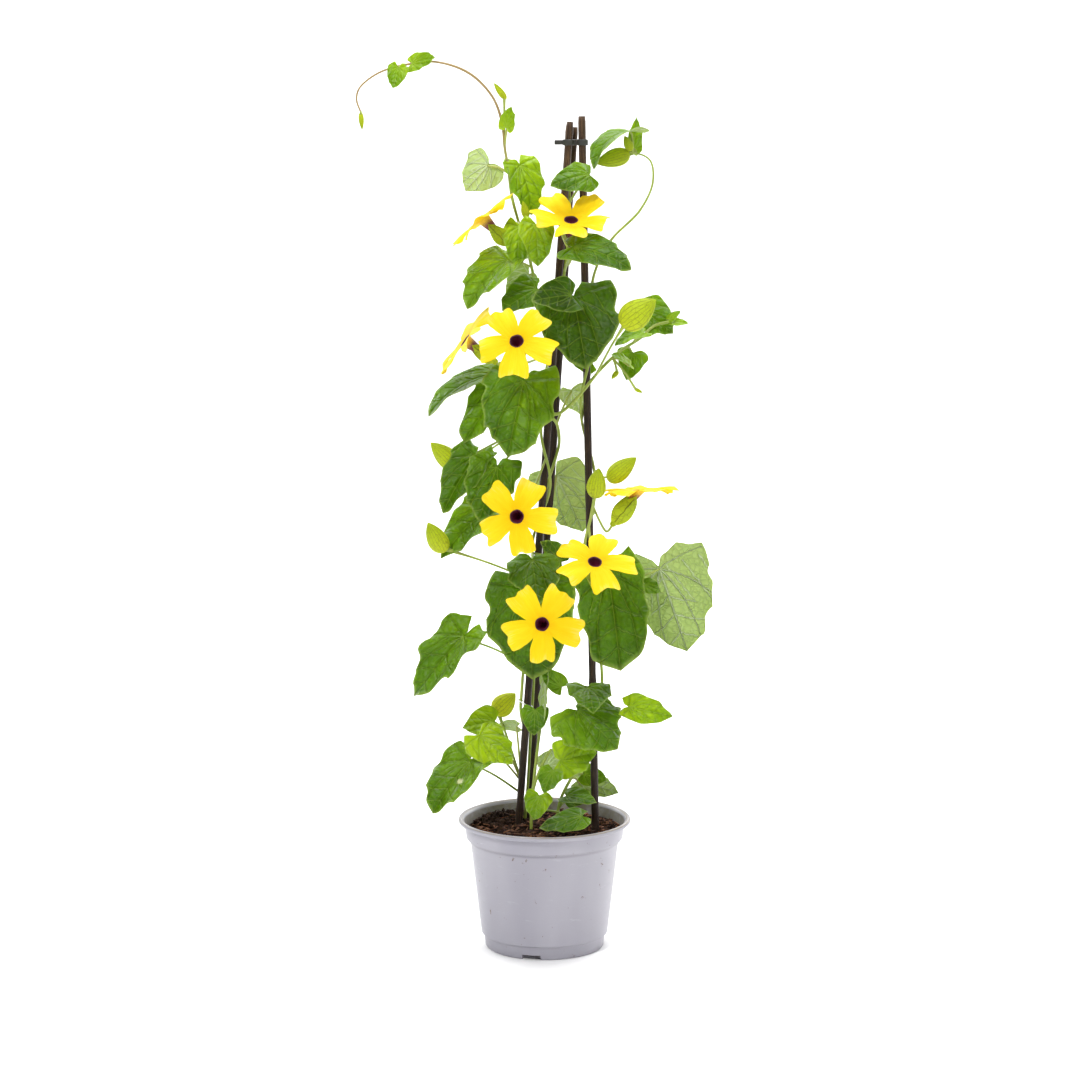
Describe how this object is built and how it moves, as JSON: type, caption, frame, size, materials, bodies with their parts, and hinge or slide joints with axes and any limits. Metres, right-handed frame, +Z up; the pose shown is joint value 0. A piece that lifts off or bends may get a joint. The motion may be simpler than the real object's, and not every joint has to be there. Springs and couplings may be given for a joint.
{
  "type": "potted flowering vine",
  "caption": "Twining black eyed susan vine with yellow dark-eyed blooms and heart-shaped leaves, grown up three dark canes in a round grey nursery pot.",
  "frame": {"origin": "centre of the pot's flat underside", "axes": "+Z up, +X to the right and +Y to the back as seen from the front of the plant"},
  "size_m": [0.2652, 0.1604, 0.6684],
  "materials": {
    "pot": "satin",
    "soil": "rough",
    "cane": "satin, dyed dark",
    "clip": "matte",
    "tie": "satin",
    "foliage": "matte",
    "petals": "matte",
    "throat": "matte"
  },
  "bodies": {
    "root": {"pot": "pot", "soil": "soil", "cane_left": "cane", "cane_right": "cane", "cane_back": "cane", "cane_clip": "clip", "twist_tie": "tie", "stem_left": "foliage", "stem_back": "foliage", "stem_right": "foliage", "shoot_low_left": "foliage", "shoot_low_middle": "foliage", "shoot_upper_right": "foliage", "shoot_upper_left": "foliage", "shoot_top_right": "foliage", "bloom_1_petals": "petals", "bloom_1_throat": "throat", "bloom_2_petals": "petals", "bloom_2_throat": "throat", "bloom_3_petals": "petals", "bloom_3_throat": "throat", "bloom_4_petals": "petals", "bloom_4_throat": "throat", "bloom_5_petals": "petals", "bloom_5_throat": "throat", "bloom_6_petals": "petals", "bloom_6_throat": "throat", "bloom_7_petals": "petals", "bloom_7_throat": "throat", "bloom_8_petals": "petals", "bloom_8_throat": "throat"}
  },
  "joints": []
}
